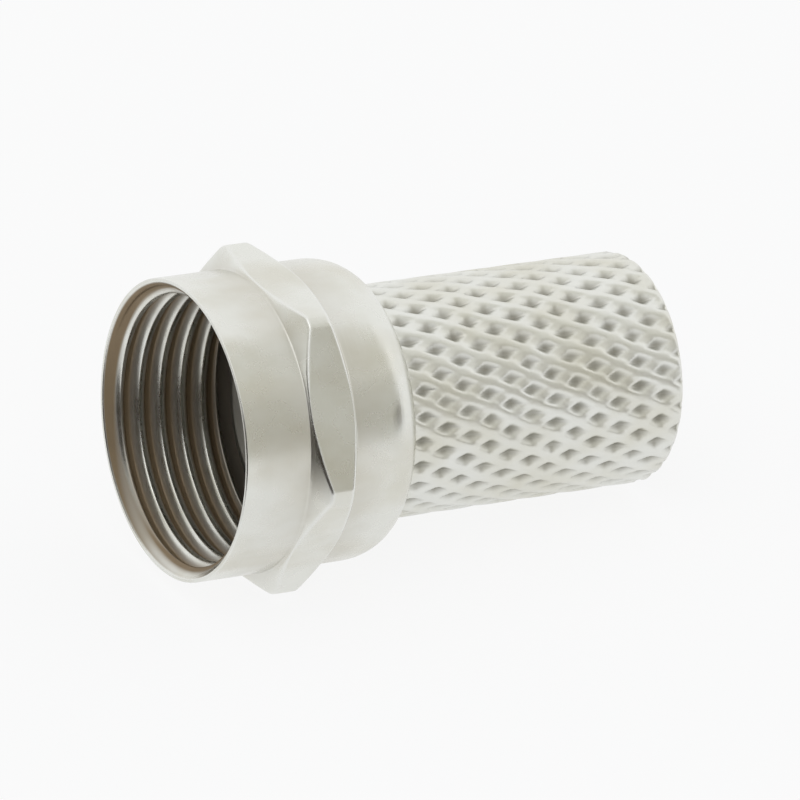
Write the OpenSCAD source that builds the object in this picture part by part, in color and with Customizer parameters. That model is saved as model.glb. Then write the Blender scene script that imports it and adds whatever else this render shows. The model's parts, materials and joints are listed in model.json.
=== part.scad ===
// Twist-on coaxial connector, male: a swivelling coupling nut on a knurled cable sleeve.
// Each piece is drawn about an axis along +X, and its stations along that axis are counted
// from the mouth of the nut. The whole is then laid on a level surface: it tips until it
// touches on the rear edge of one flat of the nut's hexagon and on the rim of the sleeve.
// The origin is on that surface, in the middle of the part's length and width.

/* [Coupling thread] */
// Diameter inside the coupling thread's crests, for a 3/8 inch port
thread_minor_d = 9; // [8:0.05:11]
// Depth of the coupling thread's grooves behind its crests
thread_depth = 0.3; // [0.2:0.01:0.5]
// Depth from the mouth at which the coupling thread ends
thread_end = 4; // [2.5:0.1:4.3]
// Width of the flat ring round the mouth
mouth_rim = 0.12; // [0.1:0.01:0.4]
// Edge break on the outside of the mouth
mouth_edge = 0.04; // [0.02:0.01:0.08]

/* [Coupling nut] */
// Length of the nut from its mouth to its rear edge
nut_len = 6.7; // [6.4:0.1:12]
// Wall of the barrel outside the coupling thread
barrel_wall = 0.27; // [0.2:0.01:1.5]
// Radial depth of the relief behind the thread, past the thread's grooves
relief_cut = 0.05; // [0.02:0.01:0.1]
// Height of the hexagon's flats above the barrel
flat_step = 0.09; // [0:0.01:0.5]
// Height of the hexagon's turned corners above the barrel
corner_rise = 0.77; // [0.3:0.01:0.95]
// Distance from the mouth to the front foot of the hexagon
hex_start = 2.4; // [1.4:0.05:3]
// Length of the hexagon band at its foot
hex_len = 1.7; // [1.4:0.05:2.8]
// Angle of the chamfers on the hexagon's corners, from a plane across the axis
hex_chamfer = 30; // [10:1:40]
// Length over which the barrel rounds in to the rear edge
shoulder_len = 1.25; // [0.5:0.05:1.8]
// Width of the flat ring at the rear edge
rear_land = 0.1; // [0.05:0.01:0.2]
// Thickness of the inner lip that holds the body in the nut
lip_len = 0.65; // [0.4:0.05:0.95]
// Depth of the recess behind the lip, in which the sleeve's front end sits
recess_len = 0.65; // [0.3:0.05:0.85]

/* [Body front] */
// Diameter of the hole that lets the cable's core through
core_hole_d = 5.3; // [4.2:0.05:5.6]
// Wall of the neck that runs in the nut's lip
neck_wall = 0.8; // [0.55:0.01:0.9]
// Diameter of the boss that meets the mating port
boss_d = 6.7; // [6.2:0.05:7.5]
// Distance from the end of the coupling thread back to the face of the boss
boss_setback = 0.05; // [0:0.01:0.4]
// Thickness of the flange that the lip holds
flange_len = 0.75; // [0.5:0.05:1]

/* [Cable sleeve] */
// Bore of the sleeve inside its jacket thread's crests
jacket_bore_d = 6.4; // [5.7:0.05:7.2]
// Wall of the sleeve from that bore to the top of the knurl
sleeve_wall = 0.75; // [0.55:0.01:1.3]
// Length of the sleeve, from its front shoulder to its rear rim
sleeve_len = 11.25; // [8:0.05:20]
// Depth of the core hole behind the sleeve's front shoulder
core_hole_depth = 0.65; // [0.3:0.05:2]
// Width and depth of the cone that leads the cable in at the rear rim
lead_in = 0.4; // [0.1:0.01:0.45]
// Chamfer on the outside of the sleeve's two ends
sleeve_chamfer = 0.14; // [0.05:0.01:0.22]

/* [Knurl] */
// Number of ridges of each hand round the sleeve
knurl_starts = 28; // [20:1:36]
// Distance along the axis from one crossing of the ridges to the next
knurl_step = 1.67; // [1:0.01:3]
// Depth of the pits between the ridges
knurl_depth = 0.23; // [0.1:0.01:0.32]
// Width of the flat top of a ridge, as a share of the ridge spacing
ridge_share = 0.24; // [0.1:0.01:0.5]

/* [Fits] */
// Radial clearance between the neck and the nut's lip
swivel_clearance = 0.06; // [0.02:0.01:0.1]
// Clearance along the axis on each side of the lip
end_play = 0.1; // [0.05:0.01:0.2]
// Radial gap between the sleeve's knurl and the nut's rear recess
sleeve_gap = 0.23; // [0.1:0.01:0.4]
// Radial clearance of the flange inside the thread's crests, so that the body goes in
flange_clearance = 0.12; // [0.05:0.01:0.3]

/* [Hidden] */
$fn = 128;
SLACK = 0.05; // overrun of a cut past the face it opens
NICKEL = [0.78, 0.77, 0.73];
NICKEL_SHADE = [0.70, 0.69, 0.65];

// Nut, radii
bore_r = thread_minor_d / 2;
thread_major_d = thread_minor_d + 2 * thread_depth; // across the grooves
barrel_r = thread_major_d / 2 + barrel_wall;
mouth_r = barrel_r - mouth_rim;
relief_r = thread_major_d / 2 + relief_cut;
hex_r = barrel_r + flat_step; // from the axis to a flat
corner_r = barrel_r + corner_rise;
// Body, radii
core_r = core_hole_d / 2;
neck_r = core_r + neck_wall;
boss_r = boss_d / 2;
flange_r = bore_r - flange_clearance;
jacket_r = jacket_bore_d / 2;
knurl_r = jacket_r + sleeve_wall;
lip_r = neck_r + swivel_clearance;
recess_r = knurl_r + sleeve_gap;
rear_r = recess_r + rear_land;
// Stations along the axis, from the mouth back
lip_rear_x = nut_len - recess_len;
lip_front_x = lip_rear_x - lip_len;
flange_rear_x = lip_front_x - end_play;
flange_front_x = flange_rear_x - flange_len;
boss_front_x = thread_end + boss_setback;
sleeve_front_x = lip_rear_x + end_play;
sleeve_rear_x = sleeve_front_x + sleeve_len;
core_rear_x = sleeve_front_x + core_hole_depth;
hex_end_x = hex_start + hex_len;
// How far the chamfer cone climbs along the axis from the barrel up to the flats
flat_run = flat_step * tan(hex_chamfer);
// The two points that touch the surface below, and the tilt that levels them
flat_contact_x = hex_end_x - flat_run;
rim_contact_x = sleeve_rear_x - sleeve_chamfer;
rest_tilt = atan((hex_r - knurl_r) / (rim_contact_x - flat_contact_x));
// Where the surface, the front end and the rear end are once the part is tipped
surface_z = -hex_r * cos(rest_tilt) - flat_contact_x * sin(rest_tilt);
front_end_x = -(barrel_r - mouth_edge) * sin(rest_tilt);
rear_end_x = sleeve_rear_x * cos(rest_tilt) + (knurl_r - sleeve_chamfer) * sin(rest_tilt);

// Turns a profile of [radius, station] points about the connector's axis
module turned(profile) {
    rotate([0, 90, 0])
        rotate_extrude()
            polygon(profile);
}

// A plain bore from one station to another
module bored(r, from_x, to_x) {
    translate([from_x, 0, 0])
        rotate([0, 90, 0])
            cylinder(h = to_x - from_x, r = r);
}

// Lays the connector down, with its axis dipping towards the sleeve
module lying() {
    translate([-(front_end_x + rear_end_x) / 2, 0, -surface_z])
        rotate([0, rest_tilt, 0])
            children();
}

// The nut's barrel, with its edge break at the mouth and a quarter ellipse at the rear
module nut_barrel() {
    shoulder_x = nut_len - shoulder_len;
    shoulder = [for (a = [0:10:90])
        [rear_r + (barrel_r - rear_r) * cos(a), shoulder_x + shoulder_len * sin(a)]];
    turned(concat(
        [[0, 0], [barrel_r - mouth_edge, 0], [barrel_r, mouth_edge]],
        shoulder,
        [[0, nut_len]]));
}

// The spanner band: a hexagon with one flat down, its corners turned off and chamfered.
// The chamfer cones are carried on a little way into the barrel, so that they cross its skin.
module nut_hexagon() {
    foot_r = barrel_r - SLACK;
    sunk = SLACK * tan(hex_chamfer);
    climb = corner_rise * tan(hex_chamfer);
    spare = hex_len / 2; // the prism runs on past each foot, and the cones end it
    intersection() {
        translate([hex_start - spare, 0, 0])
            rotate([0, 90, 0])
                rotate([0, 0, 30])
                    cylinder(h = hex_len + 2 * spare, r = hex_r / cos(30), $fn = 6);
        turned([
            [0, hex_start - sunk], [foot_r, hex_start - sunk],
            [corner_r, hex_start + climb], [corner_r, hex_end_x - climb],
            [foot_r, hex_end_x + sunk], [0, hex_end_x + sunk]]);
    }
}

// All that is cut out of the nut: countersink, thread bore, relief, lip bore and recess
module nut_bores() {
    countersink_x = mouth_r - bore_r; // a 45 degree cone
    relief_ramp = relief_r - bore_r;
    recess_corner = sleeve_gap / 2;
    turned([
        [0, -SLACK], [mouth_r + SLACK, -SLACK], [bore_r, countersink_x],
        [0, countersink_x]]);
    bored(bore_r, -SLACK, lip_front_x);
    turned([
        [0, thread_end], [bore_r, thread_end], [relief_r, thread_end + relief_ramp],
        [relief_r, lip_front_x], [0, lip_front_x]]);
    bored(lip_r, 0, nut_len);
    turned([
        [0, lip_rear_x], [recess_r - recess_corner, lip_rear_x],
        [recess_r, lip_rear_x + recess_corner],
        [recess_r, nut_len + SLACK], [0, nut_len + SLACK]]);
}

module coupling_nut() {
    color(NICKEL)
        lying()
            difference() {
                union() {
                    nut_barrel();
                    nut_hexagon();
                }
                nut_bores();
            }
}

// The knurl is laid out on a grid of rows across the axis and columns along it. Where two
// ridges of opposite hand cross and where a pit has its floor alternate over the grid like
// the squares of a board.
function crossing(k, m) = (k + m) % 2 == 0;

// How far from point 0 to point 1 of a grid line the edge of the ridge's flat top lies
function flat_edge(from_crossing) = from_crossing ? ridge_share : 1 - ridge_share;

// A rod with that knurl. Each square of the grid has a crossing at two opposite corners and
// a pit at the other two. A flat-topped ridge runs from crossing to crossing, and its two
// sides fall to the pits. Each end is closed by a fan about the axis.
module knurled_rod(from_x, to_x) {
    columns = 2 * knurl_starts;
    rows = ceil(2 * (to_x - from_x) / knurl_step) + 1;
    count = rows * columns;
    function spot(k, m, r) =
        [from_x + k * knurl_step / 2, r * cos(360 * m / columns), r * sin(360 * m / columns)];

    corners = [for (k = [0:rows - 1], m = [0:columns - 1])
        spot(k, m, crossing(k, m) ? knurl_r : knurl_r - knurl_depth)];
    across = [for (k = [0:rows - 1], m = [0:columns - 1])
        spot(k, m + flat_edge(crossing(k, m)), knurl_r)];
    along = [for (k = [0:rows - 2], m = [0:columns - 1])
        spot(k + flat_edge(crossing(k, m)), m, knurl_r)];
    hubs = [spot(0, 0, 0), spot(rows - 1, 0, 0)];

    function corner(k, m) = k * columns + m % columns;
    function on_row(k, m) = count + corner(k, m);
    function on_column(k, m) = 2 * count + corner(k, m);
    front_hub = 3 * count - columns;
    rear_hub = front_hub + 1;

    // The eight points round a square, turned so that the first is a crossing
    function ring(k, m) = let (
        loop = [
            corner(k, m), on_column(k, m), corner(k + 1, m), on_row(k + 1, m),
            corner(k + 1, m + 1), on_column(k, m + 1), corner(k, m + 1), on_row(k, m)],
        turn = crossing(k, m) ? 0 : 2)
        [for (i = [0:7]) loop[(i + turn) % 8]];
    ridges_and_pits = [for (k = [0:rows - 2], m = [0:columns - 1])
        let (p = ring(k, m))
        each [
            [p[1], p[2], p[3]], [p[5], p[6], p[7]],
            [p[0], p[1], p[3]], [p[0], p[3], p[4]],
            [p[0], p[4], p[5]], [p[0], p[5], p[7]]]];
    front = [for (m = [0:columns - 1]) each [
        [front_hub, corner(0, m), on_row(0, m)],
        [front_hub, on_row(0, m), corner(0, m + 1)]]];
    rear = [for (m = [0:columns - 1]) each [
        [rear_hub, on_row(rows - 1, m), corner(rows - 1, m)],
        [rear_hub, corner(rows - 1, m + 1), on_row(rows - 1, m)]]];
    polyhedron(
        points = concat(corners, across, along, hubs),
        faces = concat(ridges_and_pits, front, rear));
}

// The sleeve's skin: the knurled rod cut to length, with a chamfer at each end
module sleeve_skin() {
    top_r = knurl_r + SLACK;
    run = sleeve_chamfer + SLACK;
    intersection() {
        knurled_rod(sleeve_front_x - knurl_step / 4, sleeve_rear_x + knurl_step / 4);
        turned([
            [0, sleeve_front_x], [knurl_r - sleeve_chamfer, sleeve_front_x],
            [top_r, sleeve_front_x + run], [top_r, sleeve_rear_x - run],
            [knurl_r - sleeve_chamfer, sleeve_rear_x], [0, sleeve_rear_x]]);
    }
}

// The turned front of the body: boss, flange and neck
module body_front() {
    edge = sleeve_chamfer;
    turned([
        [0, boss_front_x], [boss_r - edge, boss_front_x], [boss_r, boss_front_x + edge],
        [boss_r, flange_front_x], [flange_r, flange_front_x],
        [flange_r, flange_rear_x], [neck_r, flange_rear_x],
        [neck_r, core_rear_x], [0, core_rear_x]]);
}

// All that is cut out of the body: core hole, jacket bore and the cone at the rear rim
module body_bores() {
    throat = jacket_r - core_r;
    bored(core_r, boss_front_x - SLACK, core_rear_x + SLACK);
    turned([
        [0, core_rear_x - throat], [core_r, core_rear_x - throat],
        [jacket_r, core_rear_x], [0, core_rear_x]]);
    bored(jacket_r, core_rear_x, sleeve_rear_x + SLACK);
    turned([
        [0, sleeve_rear_x - lead_in], [jacket_r, sleeve_rear_x - lead_in],
        [jacket_r + lead_in + SLACK, sleeve_rear_x + SLACK], [0, sleeve_rear_x + SLACK]]);
}

module connector_body() {
    color(NICKEL_SHADE)
        lying()
            difference() {
                union() {
                    body_front();
                    sleeve_skin();
                }
                body_bores();
            }
}

coupling_nut();
connector_body();
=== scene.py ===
# %% [markdown]
# # A twist-on F connector in nickel plate
#
# The real thing is two pieces of nickel-plated metal. A **coupling nut** screws on to the
# socket, and a **connector body** with a knurled sleeve is twisted on to the end of a cable.
# Both are turned on a lathe, so almost everything about them is a profile carried round an
# axis. What is not plain turning is cut or rolled afterwards: a hexagon, two inner threads
# and a knurl.
#
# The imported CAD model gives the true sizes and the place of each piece. This script keeps
# those, and makes the same two forms again as fine surfaces that can hold the threads and
# the soft edges that plating leaves. Each piece is one grid of points: rows follow its
# profile once round, from the front along the outside and back through the bore, and
# columns go round the axis.

# %% Load the frame
import json

import bpy
import numpy as np
from mathutils import Matrix, Vector


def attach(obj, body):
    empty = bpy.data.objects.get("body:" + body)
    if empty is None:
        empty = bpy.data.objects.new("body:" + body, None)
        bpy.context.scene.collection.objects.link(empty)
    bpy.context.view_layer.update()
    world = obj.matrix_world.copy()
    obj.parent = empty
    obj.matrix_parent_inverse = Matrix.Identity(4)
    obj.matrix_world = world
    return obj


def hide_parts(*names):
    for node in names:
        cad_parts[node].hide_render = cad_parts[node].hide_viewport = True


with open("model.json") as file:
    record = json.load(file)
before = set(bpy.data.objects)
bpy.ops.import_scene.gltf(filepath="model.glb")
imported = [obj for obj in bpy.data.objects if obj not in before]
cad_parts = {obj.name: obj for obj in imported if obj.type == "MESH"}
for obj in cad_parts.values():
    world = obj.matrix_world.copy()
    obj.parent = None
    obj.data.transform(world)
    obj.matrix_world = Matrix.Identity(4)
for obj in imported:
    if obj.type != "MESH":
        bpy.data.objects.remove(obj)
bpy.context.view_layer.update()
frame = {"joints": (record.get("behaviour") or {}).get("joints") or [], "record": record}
scene = bpy.context.scene
mounts = {mount["name"]: mount for mount in frame["record"]["mounts"]}

# %% [markdown]
# ## The connector's own axis
#
# Lying on a table, the connector rests on a flat of its hexagon and on the rim of its
# sleeve, so its axis dips a little. The hinge that lets the nut swivel lies on that axis,
# which makes it the best ruler to measure from: its direction is the axis, and its point is
# the middle of the lip that holds the two pieces together. Shapes are worked out in
# millimetres as a *station* along the axis, a *radius* and an *angle*, and are turned into
# places at the end.

# %% Directions and the mouth of the nut
MM = 0.001  # one millimetre in metres
LIP_FRONT, LIP_REAR = 5.4, 6.05  # the two ends of the nut's lip, in millimetres

hinge = frame["joints"][0]
along = np.array(hinge["axis"]) / np.linalg.norm(hinge["axis"])
sideways = np.array([0.0, 1.0, 0.0])
upward = np.cross(along, sideways)
mouth = np.array(hinge["pos_m"]) - along * (LIP_FRONT + LIP_REAR) / 2 * MM
dip = float(np.arcsin(-along[2]))


def place(station, radius, angle):
    """Points in metres. The station goes along the axis from the mouth. The radius is split
    by the cosine and the sine of the angle between the sideways and upward directions."""
    out = mouth + station[..., None] * along * MM
    out = out + (radius * np.cos(angle))[..., None] * sideways * MM
    return out + (radius * np.sin(angle))[..., None] * upward * MM


print("axis dips by %.2f degrees, mouth at %s" % (np.degrees(dip), np.round(mouth, 5)))

# %% [markdown]
# ## A grid that closes both ways
#
# A ring-shaped part has no ends: go along the outside, back through the hole, and you are
# where you began. So its grid is closed in both directions, like a tyre. There is no seam
# and no pole, and every point has exactly four neighbours. Going out along the outside and
# back along the inside also makes every face look away from the metal.
#
# Two numbers travel with each point, for the finish to read later. *Recess shade* is 0 on the
# open skin and 1 deep in a thread or a pit, and paints shade into the colour there. *Edge* is 1
# in the middle of a rounded edge, where the colour is lighter for wear and as a painted highlight.

# %% A mesh from a closed grid
def closed_grid(name, angles, stations, radii, recess, edge):
    """A mesh whose point in row i, column j is at that station, radius and angle. Each
    square joins a row to the next and a column to the next, and the last to the first."""
    rows, columns = stations.shape
    index = np.arange(rows * columns).reshape(rows, columns)
    beside = np.roll(index, -1, axis=1)
    below = np.roll(index, -1, axis=0)
    across = np.roll(below, -1, axis=1)
    squares = np.stack([index, beside, across, below], axis=-1).reshape(-1, 4)

    mesh = bpy.data.meshes.new(name)
    mesh.vertices.add(rows * columns)
    mesh.vertices.foreach_set("co", place(stations, radii, angles).astype(np.float32).ravel())
    mesh.loops.add(squares.size)
    mesh.loops.foreach_set("vertex_index", squares.astype(np.int32).ravel())
    mesh.polygons.add(len(squares))
    mesh.polygons.foreach_set("loop_start", np.arange(0, squares.size, 4, dtype=np.int32))
    mesh.update(calc_edges=True)
    mesh.polygons.foreach_set("use_smooth", np.ones(len(squares), bool))
    # The recess attribute is painted shade for the colour, and the edge attribute is wear and a
    # painted highlight
    for title, values in (("recess", recess), ("edge", edge)):
        layer = mesh.attributes.new(title, "FLOAT", "POINT")
        layer.data.foreach_set("value", values.astype(np.float32).ravel())

    piece = bpy.data.objects.new(name, mesh)
    scene.collection.objects.link(piece)
    print(name, "has", rows, "x", columns, "points and", 2 * len(squares), "triangles")
    return piece


# %% [markdown]
# ## Soft edges
#
# Plating fills every sharp corner a little, and the thin light line along an edge is what
# tells the eye that a thing is metal. A Bevel modifier could round them, but the grid
# already knows where its corners are, so it rounds them as it is made. Each corner of the
# profile says how far back from it the rounding starts. One more row just outside each
# rounding keeps the flat beside it truly flat once the shading is smoothed.

# %% A profile with rounded corners
BEND = np.linspace(0.0, 1.0, 5)[:, None, None]
BESIDE = 1.35  # where the row beside a rounding lies, as a multiple of the rounding's cut
WEAR_AND_HIGHLIGHT = [0.0, 0.3, 0.8, 1.0, 0.8, 0.3, 0.0]  # how worn each row of a rounding is, and how much it is lightened as a painted highlight


def unit_step(start, end):
    """Unit vectors that point from each start to its end."""
    step = end - start
    return step / np.linalg.norm(step, axis=-1, keepdims=True)


def trace(corners, columns):
    """Rows of a closed profile from its corners, each a (station, radius, cut, recess shade).
    A cut of 0 gives one row, at the corner. Any other cut, one number or one for each
    column, gives a quadratic curve: it leaves one straight that far before the corner,
    joins the next as far behind it, and its middle control point is the corner. Only a
    rounding without recess shade is worn and lightened as a painted highlight. Returns
    stations, radii, recess shade and edge."""
    level = np.zeros(columns)
    spots = [np.stack([corner[0] + level, corner[1] + level], axis=-1)[None] for corner in corners]
    rows, depths, edges = [], [], []
    for i, (_, _, cut, recess) in enumerate(corners):
        spot, before, after = spots[i], spots[i - 1], spots[(i + 1) % len(corners)]
        block, worn_and_highlight = spot, [0.0]
        if np.max(cut) > 0:
            back = unit_step(spot, before) * cut
            on = unit_step(spot, after) * cut
            bend = spot + (1 - BEND) ** 2 * back + BEND ** 2 * on
            block = np.concatenate([spot + back * BESIDE, bend, spot + on * BESIDE])
            worn_and_highlight = WEAR_AND_HIGHLIGHT if recess == 0 else [0.0] * len(WEAR_AND_HIGHLIGHT)
        rows.append(block)
        depths += [recess + level] * len(worn_and_highlight)
        edges += [worth + level for worth in worn_and_highlight]
    rows = np.concatenate(rows)
    return rows[..., 0], rows[..., 1], np.array(depths), np.array(edges)


print("a rounding takes", len(WEAR_AND_HIGHLIGHT), "rows, and a sharp corner takes 1")

# %% [markdown]
# ## Where two surfaces meet
#
# A thread runs into a countersink, and a knurl into a chamfer. Boolean modifiers could cut
# one with the other, at the price of a ragged mesh. Where both surfaces are heights over the
# same grid, the larger or the smaller of the two heights does the same. A blur in
# millimetres rounds the line where they meet.

# %% Blends between two surfaces
def soft_max(a, b, blur):
    """The larger of two heights, blended where they differ by less than about the blur:
    the blur times the logarithm of the sum of the exponentials of each over the blur."""
    return blur * np.logaddexp(a / blur, b / blur)


def soft_min(a, b, blur):
    """The smaller of two heights, blended in the same way."""
    return -soft_max(-a, -b, blur)


def ease(share):
    """An S-curve from 0 to 1, level at both ends: three squares less two cubes."""
    share = np.clip(share, 0.0, 1.0)
    return share * share * (3 - 2 * share)


print("two equal heights blended with a blur of 0.1 rise by %.3f" % soft_max(0.0, 0.0, 0.1))

# %% [markdown]
# ## Threads
#
# A thread is a groove that moves along the axis by one pitch in every turn. A Screw modifier
# can carry a tooth round, but its ends and its join to the bore then need cleaning up. On a
# grid a thread is one formula: the pitches from the start less the turns made say how far
# away the nearest crest is. Both threads here are right-handed, as nearly all are.

# %% The helical groove
def past_crest(station, angle, start, pitch):
    """Distance along the axis past the nearest crest of the helix, negative before it."""
    turns = (station - start) / pitch - angle / (2 * np.pi)
    return (turns - np.round(turns)) * pitch


def groove(past, crest, flank):
    """Depth of a thread as a share, 0 on a crest and 1 in the groove: the distance to the
    crest, less half the crest's width, over the flank's width, and eased."""
    return ease((np.abs(past) - crest / 2) / flank)


print("half a turn on, the nearest crest lies %.2f of a pitch away"
      % abs(past_crest(0.0, np.pi, 0.0, 1.0)))

# %% [markdown]
# ## The coupling nut
#
# On the real nut a band is left standing on the turned barrel and milled to a hexagon, and
# its corners are then chamfered on the lathe. That last cut is a cone, and a cone meets a
# flat in an arc, which gives the band its wavy edge. A Boolean of a cone and a prism would
# do it, but it leaves ragged triangles that shade badly. Here each column asks how high the
# hexagon stands at its own angle, and the chamfer ends exactly where its cone reaches that
# height, so the arcs lie along rows of the grid.

# %% Sizes of the nut, in millimetres
THREAD_R = mounts["coupling_thread"]["dims"]["r_mm"]  # on the crests
THREAD_ROOT_R = 4.8  # in the grooves
THREAD_PITCH = 25.4 / 32  # 32 turns to the inch
THREAD_START, THREAD_END = 0.47, 4.0
BARREL_R = THREAD_ROOT_R + 0.27
MOUTH_R = BARREL_R - 0.12
RELIEF_R = THREAD_ROOT_R + 0.05
FLAT_R = BARREL_R + 0.09
CORNER_R = BARREL_R + 0.77
CORNER_BLUR = 0.02
HEX_START, HEX_END = 2.4, 4.1
CHAMFER_SLOPE = np.tan(np.radians(30))
NUT_LEN, SHOULDER_LEN = 6.7, 1.25
LIP_R, RECESS_R, REAR_R = 3.51, 4.18, 4.28
print("the nut's wall outside the thread is %.2f mm thick" % (BARREL_R - THREAD_ROOT_R))

# %% The hexagon's height round the nut
FLAT_COLUMNS = 72  # columns to each flat
CROWDING = 0.6  # 0 spaces the columns evenly, towards 1 they crowd at the corners

flats = np.arange(6 * FLAT_COLUMNS) / FLAT_COLUMNS
nut_angles = (flats - CROWDING * np.sin(2 * np.pi * flats) / (2 * np.pi)) * np.pi / 3
from_middle = np.mod(nut_angles, np.pi / 3) - np.pi / 6
hex_top = soft_min(FLAT_R / np.cos(from_middle), CORNER_R, CORNER_BLUR)
hex_run = (hex_top - BARREL_R) * CHAMFER_SLOPE
print("across flats %.2f mm, across corners %.2f mm" % (2 * hex_top.min(), 2 * hex_top.max()))

# %% How far the edges of the chamfers are rounded
FOOT_CUT, BROW_CUT = 0.06, 0.1  # at the barrel and at the hexagon's top, in millimetres
SLOPE_SHARE = 0.36  # the most of a short chamfer that one rounding takes

slope_length = np.hypot(hex_top - BARREL_R, hex_run)[:, None]
foot_cut = np.minimum(SLOPE_SHARE * slope_length, FOOT_CUT)
brow_cut = np.minimum(SLOPE_SHARE * slope_length, BROW_CUT)
print("chamfers from %.2f to %.2f mm long" % (slope_length.min(), slope_length.max()))

# %% The outside of the nut, from the mouth to the rear edge
MOUTH_CUT, BARREL_CUT = 0.02, 0.04  # roundings of the mouth's inner and outer edge
FOOT_SHADE = 0.12  # painted shade at the foot of the hexagon
SHOULDER_END, SHOULDER_ROWS = np.radians(84), 12  # a quarter ellipse, less its last few degrees

nut_outside = [
    (0, MOUTH_R, MOUTH_CUT, 0), (0, BARREL_R, BARREL_CUT, 0),
    (HEX_START, BARREL_R, foot_cut, FOOT_SHADE), (HEX_START + hex_run, hex_top, brow_cut, 0),
    (HEX_END - hex_run, hex_top, brow_cut, 0), (HEX_END, BARREL_R, foot_cut, FOOT_SHADE),
]
for sweep in np.linspace(0, SHOULDER_END, SHOULDER_ROWS):
    station = NUT_LEN - SHOULDER_LEN + SHOULDER_LEN * np.sin(sweep)
    nut_outside.append((station, REAR_R + (BARREL_R - REAR_R) * np.cos(sweep), 0, 0))
print(len(nut_outside), "corners on the outside of the nut")

# %% [markdown]
# ## The nut's thread and its painted shade
#
# From the relief to the mouth, every row is one step of the helix. Three surfaces meet here:
# the thread, the countersink that opens the mouth, and the cone behind the last turn. The
# inside keeps whichever of them lies furthest out, which is what a cutter does.
#
# The nut is plated last, and the bath hardly reaches into a thread, so the plating there is
# thin. Painted shade darkens the inner flanks, which face away from the mouth, and the foot of
# the countersink, so only the crests and the flanks that face the mouth stay bright. That
# painted shade is added to the recess that the finish reads.

# %% The inside of the nut, from the rear edge to the mouth
CREST_WIDTH, FLANK_WIDTH, THREAD_BLUR = 0.14, 0.27, 0.012  # all three in millimetres
THREAD_ROW = 0.03  # spacing of the rows along the thread
LAST_ROW = 0.05  # how near to the mouth the last row may come
REAR_CUT, HOLLOW_CUT = 0.03, 0.1  # roundings of the rear rim and of the hollow behind it
# painted shade in the corner inside the rear rim
RIM_SHADE = 0.2
SHELTERED, HIDDEN = 0.6, 1  # painted shade in an open hollow, and in one that light hardly reaches
BRIGHT_FLANK = 0.25  # share of a flank, from its crest, that stays bright without painted shade
SHADE_AHEAD = 0.3  # how far on the mouth's side of a crest its painted shade starts, in crest widths
SHADE_FULL, SHADE_END = 0.3, 0.4  # stations where the countersink's painted shade is full, and ends

relief_start = THREAD_END + RELIEF_R - THREAD_R
nut_inside = [
    (NUT_LEN, REAR_R, REAR_CUT, 0), (NUT_LEN, RECESS_R, REAR_CUT, RIM_SHADE),
    (LIP_REAR, RECESS_R, HOLLOW_CUT, HIDDEN), (LIP_REAR, LIP_R, 0, HIDDEN),
    (LIP_FRONT, LIP_R, 0, HIDDEN), (LIP_FRONT, RELIEF_R, 0, SHELTERED),
    (relief_start, RELIEF_R, 0, SHELTERED),
]
for station in np.arange(relief_start - THREAD_ROW, LAST_ROW, -THREAD_ROW):
    past = past_crest(station, nut_angles, THREAD_START, THREAD_PITCH)
    depth = groove(past, CREST_WIDTH, FLANK_WIDTH)
    thread = THREAD_R + (THREAD_ROOT_R - THREAD_R) * depth
    opened = max(MOUTH_R - station, THREAD_R + station - THREAD_END)
    # painted shade on the inner flanks, which face away from the mouth, and at the foot of the
    # countersink
    inner_flank_shade = ease(past / CREST_WIDTH + SHADE_AHEAD)
    fading = (SHADE_END - station) / (SHADE_END - SHADE_FULL)
    countersink_shade = ease(station / SHADE_FULL) * ease(fading)
    dulled_and_shaded = (depth - BRIGHT_FLANK) / (1 - BRIGHT_FLANK) + inner_flank_shade + countersink_shade
    surface = soft_max(thread, opened, THREAD_BLUR)
    nut_inside.append((station, surface, 0, np.clip(dulled_and_shaded, 0.0, 1.0)))
print("the coupling thread has %.1f turns" % ((THREAD_END - THREAD_START) / THREAD_PITCH))

# %% Make the nut
nut_rows = trace(nut_outside + nut_inside, len(nut_angles))
nut = closed_grid("threaded_nut", nut_angles, *nut_rows)
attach(nut, "nut")
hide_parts("coupling_nut")

# %% [markdown]
# ## The knurl
#
# The knurl is what the fingers hold, and what the eye sees first. A hard roller pressed
# rows of small pyramids into the sleeve and left a net of ridges between them. Modelling one
# diamond and repeating it with Array modifiers would leave seams and stretched ends. On the
# grid it is a height again. Two families of ridges run round the sleeve as helices of
# opposite hand. A point's depth follows from its distance to the nearer ridge, so the pits
# are four-sided, with a ridge all round.
#
# The rows and columns are spaced so that both families run along the diagonals of the grid.
# That keeps each ridge clean, where a finer grid at another spacing would saw at it. A
# roller is never quite even, so the ridges then sway a little to either side.

# %% Sizes of the body, in millimetres
CORE_R = mounts["core_hole"]["dims"]["r_mm"]
JACKET_R = mounts["cable_entry"]["dims"]["r_mm"]
BOSS_R, FLANGE_R, NECK_R = 3.35, 4.38, 3.45
BOSS_FRONT = 4.05
FLANGE_FRONT, FLANGE_REAR = 4.55, 5.3
SLEEVE_FRONT, SLEEVE_REAR = 6.15, 17.4
THROAT_FRONT, THROAT_REAR = 6.25, 6.8
KNURL_R = JACKET_R + 0.75
KNURL_STARTS, KNURL_STEP, KNURL_DEPTH = 28, 1.67, 0.23
KNURL_ORIGIN = SLEEVE_FRONT - KNURL_STEP / 4  # a station where ridges cross
SKIN_CHAMFER = 0.14
SKIN_EDGE_R = KNURL_R - SKIN_CHAMFER
CELL_POINTS = 16  # grid points from one crossing of the ridges to the next, each way

body_angles = np.linspace(0, 2 * np.pi, KNURL_STARTS * CELL_POINTS, endpoint=False)
print("knurl:", KNURL_STARTS, "ridges of each hand, one crossing every", KNURL_STEP, "mm")

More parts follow.
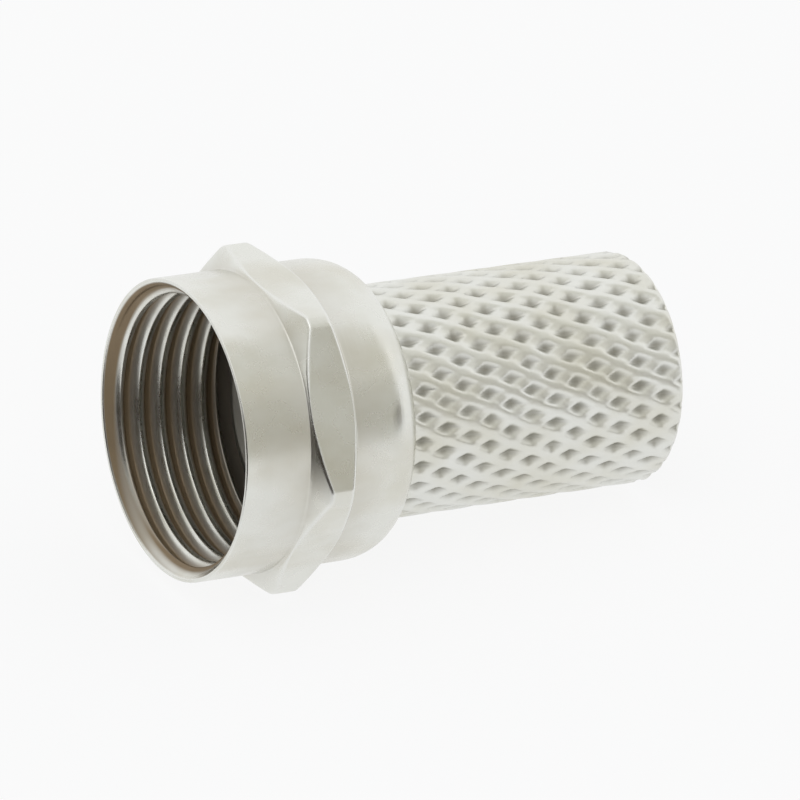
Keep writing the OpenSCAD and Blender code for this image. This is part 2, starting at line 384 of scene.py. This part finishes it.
# %% The height of the knurl
RIDGE_HALF = 0.09  # half the width of a ridge's flat top, as a share of the ridge spacing
SECOND_DROP = 0.06  # how much lower the second family of ridges stands, in millimetres
SWAY = 0.05  # how far a ridge strays to either side, as a share of the ridge spacing
SHALLOWER = 0.18  # how much shallower the weakest pits are, as a share of their depth
PIT_FLOOR = 1.15  # above 1, a pit reaches its depth before its middle and has a small floor
DROP_RAMP = 0.3  # how far from a first ridge that drop is full, as a share of the spacing
CROSSING_BLUR, RIDGE_BLUR = 0.03, 0.01

# Waves round the sleeve and radians per millimetre along it, for what is uneven.
FIRST_SWAY, SECOND_SWAY = (5, 1.9), (8, -1.4)
FIRST_PATCHES, SECOND_PATCHES = (11, 3.1), (6, -2.2)


def wave(shape, station, angle):
    """The sine of the angle times the waves round plus the station times the rate along."""
    return np.sin(shape[0] * angle + shape[1] * station)


def knurl_depth(station, angle):
    """Depth below the sleeve's skin. Turns round the sleeve times the number of starts,
    plus or less the steps along it, count the ridges of each family. The distance to the
    nearest whole count, less half a ridge, runs from 0 to 1 at the middle of a pit. The
    pit's depth eases in with the smaller of the two distances. Slow sine waves, whole in
    number round the sleeve, make each ridge sway a little and some pits shallower. Returns
    the depth in millimetres, and the pit alone as a share, which the finish squares into
    painted shade."""
    around = angle / (2 * np.pi) * KNURL_STARTS
    steps = (station - KNURL_ORIGIN) / KNURL_STEP
    one_hand = around - steps + SWAY * wave(FIRST_SWAY, station, angle)
    other_hand = around + steps + SWAY * wave(SECOND_SWAY, station, angle)
    first = np.abs(one_hand - np.round(one_hand))
    second = np.abs(other_hand - np.round(other_hand))
    near = soft_min(first, second, CROSSING_BLUR)
    patches = wave(FIRST_PATCHES, station, angle) * wave(SECOND_PATCHES, station, angle)
    strength = 1 - SHALLOWER * (1 + patches) / 2
    pit = ease((near - RIDGE_HALF) / (0.5 - RIDGE_HALF) * PIT_FLOOR) * strength
    drop = SECOND_DROP * ease((first - RIDGE_HALF) / DROP_RAMP)
    return soft_max(KNURL_DEPTH * pit, drop, RIDGE_BLUR), pit


sample, _ = knurl_depth(SLEEVE_FRONT + KNURL_STEP, body_angles)
print("depths round one row: %.2f to %.2f mm" % (sample.min(), sample.max()))

# %% The outside of the body, from the front boss to the rear rim
CORE_CUT, BOSS_CUT = 0.06, 0.1  # how far the boss's two edges are rounded
FRONT_EDGE_R = SKIN_EDGE_R - 0.1  # the very edge falls away faster than the chamfer
CHAMFER_BLUR = 0.015

# The last number of each corner is its painted shade.
body_outside = [
    (BOSS_FRONT, CORE_R, CORE_CUT, SHELTERED), (BOSS_FRONT, BOSS_R, BOSS_CUT, SHELTERED),
    (FLANGE_FRONT, BOSS_R, 0, SHELTERED), (FLANGE_FRONT, FLANGE_R, 0, SHELTERED),
    (FLANGE_REAR, FLANGE_R, 0, HIDDEN), (FLANGE_REAR, NECK_R, 0, HIDDEN),
    (SLEEVE_FRONT, NECK_R, 0, HIDDEN), (SLEEVE_FRONT, FRONT_EDGE_R, 0, SHELTERED),
]
row_gap = KNURL_STEP / CELL_POINTS
for station in np.arange(SLEEVE_FRONT + row_gap, SLEEVE_REAR, row_gap):
    depth, pit = knurl_depth(station, body_angles)
    from_end = min(station - SLEEVE_FRONT, SLEEVE_REAR - station)
    skin = soft_min(KNURL_R - depth, SKIN_EDGE_R + from_end, CHAMFER_BLUR)
    # painted shade in the knurl's pits, the square of the pit's share
    body_outside.append((station, skin, 0, pit ** 2))
print(len(body_outside), "corners on the outside of the body")

# %% [markdown]
# ## The bore of the sleeve
#
# The sleeve has a coarse, shallow thread inside, with narrow crests that bite into the
# cable's jacket as the connector is twisted on. It takes the same formula as the nut's
# thread, with a longer pitch. It ends in a cone at the rim, which leads the cable in.

# %% The inside of the body, from the rear rim to the front boss
JACKET_PITCH, JACKET_DEPTH = 1.2, 0.2
JACKET_CREST, JACKET_FLANK, JACKET_BLUR = 0.2, 0.28, 0.02
JACKET_ROW = 0.16  # spacing of the rows along the bore
LEAD_IN = 0.4
RIM_CUT = 0.04
BORE_SHADE = 0.3  # painted shade on the bore's crests, which grows to 1 in its grooves

body_inside = [
    (SLEEVE_REAR, SKIN_EDGE_R, RIM_CUT, 0), (SLEEVE_REAR, JACKET_R + LEAD_IN, RIM_CUT, 0),
]
for station in np.arange(SLEEVE_REAR - LEAD_IN / 2, THROAT_REAR, -JACKET_ROW):
    past = past_crest(station, body_angles, SLEEVE_FRONT, JACKET_PITCH)
    depth = groove(past, JACKET_CREST, JACKET_FLANK)
    lead = JACKET_R + LEAD_IN - (SLEEVE_REAR - station)
    surface = soft_max(JACKET_R + JACKET_DEPTH * depth, lead, JACKET_BLUR)
    body_inside.append((station, surface, 0, BORE_SHADE + (1 - BORE_SHADE) * depth))
body_inside += [(THROAT_REAR, JACKET_R, 0, HIDDEN), (THROAT_FRONT, CORE_R, 0, HIDDEN)]
print("the bore's thread has %.1f turns" % ((SLEEVE_REAR - THROAT_REAR) / JACKET_PITCH))

# %% Make the body
body_rows = trace(body_outside + body_inside, len(body_angles))
body = closed_grid("knurled_body", body_angles, *body_rows)
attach(body, "body")
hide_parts("connector_body")

# %% [markdown]
# ## Nickel plate
#
# Nickel is a warm, pale grey metal. On a small turned part it is satin rather than mirror
# bright, with three kinds of fine detail. Turning leaves faint rings round the axis. The bath
# leaves soft clouds, a little duller or yellower than the rest. And the plating is thin and
# dull deep inside a thread or a pit, where the colour is also darkened as painted shade, while
# it is brightest on the rubbed edges, where the colour is also lightened as a painted highlight.
#
# An image texture would need the pieces unwrapped, and would blur close up. So all of it is
# noise built from the piece's own coordinates, in millimetres along its axis. The rings then
# lie across the axis, and nothing slides when the nut turns.
#
# Deep in a recess the metal also carries a thin brownish film, which scatters light instead
# of mirroring it. There the recess shade lowers Metallic and raises Roughness. Without that, a
# deep thread would look almost black, because it would mirror little but itself. The recess
# shade also darkens the colour towards a dark brown, which is painted shade.

# %% Helpers for materials
def add_node(tree, kind, **settings):
    """A new shader node, with its settings and then its inputs filled in by name."""
    made = tree.nodes.new(kind)
    for key, value in settings.items():
        if key in made.bl_rna.properties:
            setattr(made, key, value)
        else:
            made.inputs[key].default_value = value
    return made


MIX_FIRST, MIX_SECOND, MIX_RESULT = 6, 7, 2  # where a Mix node keeps its colour sockets


def blend_colours(tree, amount, first, second):
    """A Mix node from one colour to another. Each colour is a socket or three numbers."""
    mix = add_node(tree, "ShaderNodeMix", data_type="RGBA")
    tree.links.new(amount, mix.inputs["Factor"])
    for place_in, colour in ((MIX_FIRST, first), (MIX_SECOND, second)):
        if isinstance(colour, tuple):
            mix.inputs[place_in].default_value = (*colour, 1.0)
        else:
            tree.links.new(colour, mix.inputs[place_in])
    return mix.outputs[MIX_RESULT]


def noise_share(tree, vector, stretch, detail, low, high, to_low=0.0, to_high=1.0):
    """Noise on coordinates multiplied by the three numbers of stretch, with its values from
    low to high spread over to_low to to_high."""
    stretched = add_node(tree, "ShaderNodeMapping")
    stretched.inputs["Scale"].default_value = stretch
    noise = add_node(tree, "ShaderNodeTexNoise", Scale=1.0, Detail=detail)
    spread = add_node(tree, "ShaderNodeMapRange")
    spread.inputs["From Min"].default_value = low
    spread.inputs["From Max"].default_value = high
    spread.inputs["To Min"].default_value = to_low
    spread.inputs["To Max"].default_value = to_high
    tree.links.new(vector, stretched.inputs["Vector"])
    tree.links.new(stretched.outputs["Vector"], noise.inputs["Vector"])
    tree.links.new(noise.outputs["Fac"], spread.inputs["Value"])
    return spread.outputs["Result"]


def grown_with(tree, amount, gain, start):
    """A Math node that gives start plus gain times amount. Start is a socket or a number."""
    sum_node = add_node(tree, "ShaderNodeMath", operation="MULTIPLY_ADD")
    tree.links.new(amount, sum_node.inputs[0])
    sum_node.inputs[1].default_value = gain
    if isinstance(start, float):
        sum_node.inputs[2].default_value = start
    else:
        tree.links.new(start, sum_node.inputs[2])
    return sum_node.outputs["Value"]


# %% The patterns of the plating, each for millimetres along and across the axis
CLOUDS = dict(stretch=(0.35, 0.5, 0.5), detail=3.0, low=0.42, high=0.68)
RINGS = dict(stretch=(9.0, 0.25, 0.25), detail=2.0, low=0.3, high=0.7)
SATIN = dict(stretch=(1.1, 1.1, 1.1), detail=4.0, low=0.3, high=0.7)
GRAIN = dict(stretch=(7.0, 7.0, 7.0), detail=3.0, low=0.2, high=0.8)
SATIN_SPREAD = 0.05  # how far the roughness strays to either side
FILM = 0.5  # how much of the deepest recess is dull film instead of bare metal
print("rings about %.2f mm apart" % (1 / RINGS["stretch"][0]))

# %% The plating
def nickel_plate(name, clean, cloud, deep_shade, worn_and_highlight, roughness, dulling, ring_height, grain_height):
    """A metal whose colour goes from clean to cloudy with soft noise, to a darker deep colour
    with the recess attribute, which is painted shade, and to a lighter one with the edge
    attribute, which is wear and a painted highlight. The recess also takes up to FILM off
    Metallic and adds up to dulling to Roughness, which a soft noise varies. Two bumps, rings
    across the axis and an even grain, are that many millimetres high."""
    material = bpy.data.materials.new(name)
    material.use_nodes = True
    tree = material.node_tree
    shader = tree.nodes["Principled BSDF"]

    coordinates = add_node(tree, "ShaderNodeTexCoord")
    on_axis = add_node(tree, "ShaderNodeMapping", vector_type="TEXTURE")
    on_axis.inputs["Location"].default_value = tuple(mouth)
    on_axis.inputs["Rotation"].default_value = (0.0, dip, 0.0)
    on_axis.inputs["Scale"].default_value = (MM, MM, MM)
    tree.links.new(coordinates.outputs["Object"], on_axis.inputs["Vector"])
    where = on_axis.outputs["Vector"]

    recess = add_node(tree, "ShaderNodeAttribute", attribute_name="recess").outputs["Fac"]
    edge = add_node(tree, "ShaderNodeAttribute", attribute_name="edge").outputs["Fac"]
    colour = blend_colours(tree, noise_share(tree, where, **CLOUDS), clean, cloud)
    # painted shade: darker towards the deep colour where the recess attribute is high
    colour = blend_colours(tree, recess, colour, deep_shade)
    # lighter along the middle of rounded edges, for wear and as a painted highlight
    colour = blend_colours(tree, edge, colour, worn_and_highlight)
    tree.links.new(colour, shader.inputs["Base Color"])

    satin = noise_share(tree, where, **SATIN, to_low=roughness - SATIN_SPREAD,
                        to_high=roughness + SATIN_SPREAD)
    tree.links.new(grown_with(tree, recess, -FILM, 1.0), shader.inputs["Metallic"])
    tree.links.new(grown_with(tree, recess, dulling, satin), shader.inputs["Roughness"])

    rings = add_node(tree, "ShaderNodeBump", Strength=1.0, Distance=ring_height * MM)
    tree.links.new(noise_share(tree, where, **RINGS), rings.inputs["Height"])
    pores = add_node(tree, "ShaderNodeBump", Strength=1.0, Distance=grain_height * MM)
    tree.links.new(noise_share(tree, where, **GRAIN), pores.inputs["Height"])
    tree.links.new(rings.outputs["Normal"], pores.inputs["Normal"])
    tree.links.new(pores.outputs["Normal"], shader.inputs["Normal"])
    print("material", name, "with", len(tree.nodes), "nodes")
    return material


# The deep colours are painted shade in hollows, in the brown of thin plating; the lighter edge
# colours are wear and a painted highlight.
nut.data.materials.append(nickel_plate(
    "turned_nickel", clean=(0.77, 0.775, 0.73), cloud=(0.69, 0.68, 0.61),
    deep_shade=(0.29, 0.215, 0.13), worn_and_highlight=(0.79, 0.795, 0.76),
    roughness=0.27, dulling=0.25, ring_height=0.0012, grain_height=0.0006))
body.data.materials.append(nickel_plate(
    "knurled_nickel", clean=(0.785, 0.79, 0.75), cloud=(0.71, 0.70, 0.62),
    deep_shade=(0.31, 0.295, 0.245), worn_and_highlight=(0.87, 0.87, 0.84),
    roughness=0.36, dulling=0.15, ring_height=0.0, grain_height=0.003))

# %% [markdown]
# ## The studio
#
# A metal shows hardly any colour of its own brightness: it shows the room. So the room is a
# white one, and grey cards stand where the metal should read darker, which is how silver
# and chrome are usually lit. The cards are seen only in reflections. The floor is pale and
# matt, and catches the soft shadow.
#
# Three pale grey cards, one above another, shade the side that faces the camera from light
# at the top to darker at the horizon, which makes a cylinder look round. A fourth, on the
# mouth's side, takes the glare off the hexagon's chamfers. Two small dark cards stand close
# to the mouth, for the dark band across the thread. A last one stands further off, for a
# dark spot on the rear shoulder.

# %% White for the camera
def whitened(tree, surface, share):
    """The surface, mixed with plain white by that share for what the camera sees, directly
    or in a reflection or through glass. The rest is kept, with its shadow."""
    path = add_node(tree, "ShaderNodeLightPath")
    seen = path.outputs["Is Camera Ray"]
    for ray in ("Is Glossy Ray", "Is Transmission Ray"):
        either = add_node(tree, "ShaderNodeMath", operation="MAXIMUM")
        tree.links.new(seen, either.inputs[0])
        tree.links.new(path.outputs[ray], either.inputs[1])
        seen = either.outputs["Value"]
    amount = add_node(tree, "ShaderNodeMath", operation="MULTIPLY")
    tree.links.new(seen, amount.inputs[0])
    amount.inputs[1].default_value = share
    white = add_node(tree, "ShaderNodeEmission", Strength=1.0)
    mix = add_node(tree, "ShaderNodeMixShader")
    tree.links.new(amount.outputs["Value"], mix.inputs["Fac"])
    tree.links.new(surface, mix.inputs[1])
    tree.links.new(white.outputs["Emission"], mix.inputs[2])
    return mix.outputs["Shader"]


# %% A flat sheet, for the floor and the cards
def flat_sheet(name, width, height):
    """A rectangle round its own origin, in the plane of its X and Y axes."""
    mesh = bpy.data.meshes.new(name)
    w, h = width / 2, height / 2
    mesh.from_pydata([(-w, -h, 0), (w, -h, 0), (w, h, 0), (-w, h, 0)], [], [(0, 1, 2, 3)])
    sheet = bpy.data.objects.new(name, mesh)
    scene.collection.objects.link(sheet)
    return sheet


# %% The floor
FLOOR_SIZE = 3.0  # metres
FLOOR_WHITENED = 0.87  # share of plain white in what the camera sees of the floor

floor = flat_sheet("floor", FLOOR_SIZE, FLOOR_SIZE)

paper = bpy.data.materials.new("pale_paper")
paper.use_nodes = True
paper_shader = paper.node_tree.nodes["Principled BSDF"]
paper_shader.inputs["Base Color"].default_value = (0.86, 0.86, 0.85, 1.0)
paper_shader.inputs["Roughness"].default_value = 0.9
paper_shader.inputs["Specular IOR Level"].default_value = 0.0
paper.node_tree.links.new(
    whitened(paper.node_tree, paper_shader.outputs["BSDF"], FLOOR_WHITENED),
    paper.node_tree.nodes["Material Output"].inputs["Surface"])
floor.data.materials.append(paper)
print("floor", FLOOR_SIZE, "m wide, whitened by", FLOOR_WHITENED)

# %% The white room
ROOM_STRENGTH = 0.75

world = bpy.data.worlds.new("white_room")
world.use_nodes = True
scene.world = world
room = world.node_tree.nodes["Background"]
room.inputs["Color"].default_value = (0.95, 0.97, 1.0, 1.0)
room.inputs["Strength"].default_value = ROOM_STRENGTH
world.node_tree.links.new(
    whitened(world.node_tree, room.outputs["Background"], 1.0),
    world.node_tree.nodes["World Output"].inputs["Surface"])
print("room of strength", ROOM_STRENGTH, "for soft light, and plain white to look at")

# %% Grey cards
CENTRE = Vector((0.0, 0.0, 5.5 * MM))  # about halfway up the nut
CARD_DISTANCE = 0.35  # metres


def towards(azimuth, elevation):
    """A unit vector out from the object. Azimuth 0 looks in from -Y, and 90 from +X."""
    a, e = np.radians(azimuth), np.radians(elevation)
    return Vector((np.sin(a) * np.cos(e), -np.cos(a) * np.cos(e), np.sin(e)))


def facing(direction):
    """The turn that points an object's +Z axis in that direction, with its +X axis level."""
    return direction.to_track_quat("Z", "Y").to_matrix().to_4x4()


def grey_card(name, azimuth, elevation, width, height, shade, distance=CARD_DISTANCE):
    """A card that faces the object from that side and that far away, seen only in metal."""
    card = flat_sheet(name, width, height)
    out = towards(azimuth, elevation)
    card.matrix_world = Matrix.Translation(CENTRE + out * distance) @ facing(-out)
    card.visible_camera = False
    card.visible_diffuse = False
    card.visible_shadow = False
    grey = bpy.data.materials.new(name)
    grey.use_nodes = True
    glow = add_node(grey.node_tree, "ShaderNodeEmission", Color=(*shade, 1.0), Strength=1.0)
    grey.node_tree.links.new(glow.outputs["Emission"],
                             grey.node_tree.nodes["Material Output"].inputs["Surface"])
    card.data.materials.append(grey)


DARK = (0.05, 0.042, 0.035)

# Name, azimuth and elevation in degrees, width, height, shade, and distance in metres.
grey_card("high_card", 30, 58, 0.40, 0.24, (0.74, 0.735, 0.69))
grey_card("front_card", 30, 22, 0.35, 0.20, (0.60, 0.59, 0.54))
grey_card("low_card", 25, 1, 0.30, 0.05, (0.52, 0.505, 0.45), 0.34)
grey_card("side_card", -92, 38, 0.36, 0.27, (0.68, 0.67, 0.62))
grey_card("left_card", -48, 9.5, 0.030, 0.019, DARK, 0.026)
grey_card("mouth_card", -90, -2, 0.012, 0.006, DARK, 0.016)
grey_card("right_card", 46, 7, 0.06, 0.04, (0.12, 0.105, 0.085), 0.2)

# %% Lamps
def soft_lamp(name, azimuth, elevation, distance, size, watts):
    """A square area lamp that shines at the object from that side."""
    light = bpy.data.lights.new(name, "AREA")
    light.size = size
    light.energy = watts
    lamp = bpy.data.objects.new(name, light)
    scene.collection.objects.link(lamp)
    out = towards(azimuth, elevation)
    lamp.matrix_world = Matrix.Translation(CENTRE + out * distance) @ facing(out)
    print("lamp", name, "gives", watts, "watts from", distance, "m away")


soft_lamp("key", -50, 62, distance=0.5, size=0.3, watts=0.16)
soft_lamp("fill", 60, 45, distance=0.5, size=0.35, watts=0.06)

# %% [markdown]
# ## The camera
#
# The camera looks down on the connector from the front left, so that the mouth of the nut,
# the hexagon and the knurl all show. It stands well back with a long lens, which keeps
# parallel edges nearly parallel.

# %% Camera
CAMERA_AZIMUTH, CAMERA_ELEVATION = -30.25, 28.95
CAMERA_ROLL = 2.6
CAMERA_DISTANCE = 0.3009  # metres
AIM = Vector((0.0, 0.0, 4.65 * MM))

camera_data = bpy.data.cameras.new("camera")
camera_data.lens = 405.0
camera_data.sensor_width = 36.0
camera_data.clip_start = 0.01
camera = bpy.data.objects.new("camera", camera_data)
scene.collection.objects.link(camera)
out = towards(CAMERA_AZIMUTH, CAMERA_ELEVATION)
turn = facing(out) @ Matrix.Rotation(np.radians(CAMERA_ROLL), 4, "Z")
camera.matrix_world = Matrix.Translation(AIM + out * CAMERA_DISTANCE) @ turn
scene.camera = camera
scene.view_settings.view_transform = "Standard"
picture_width = CAMERA_DISTANCE * camera_data.sensor_width / camera_data.lens
print("the picture is %.1f mm wide at the connector" % (picture_width / MM))
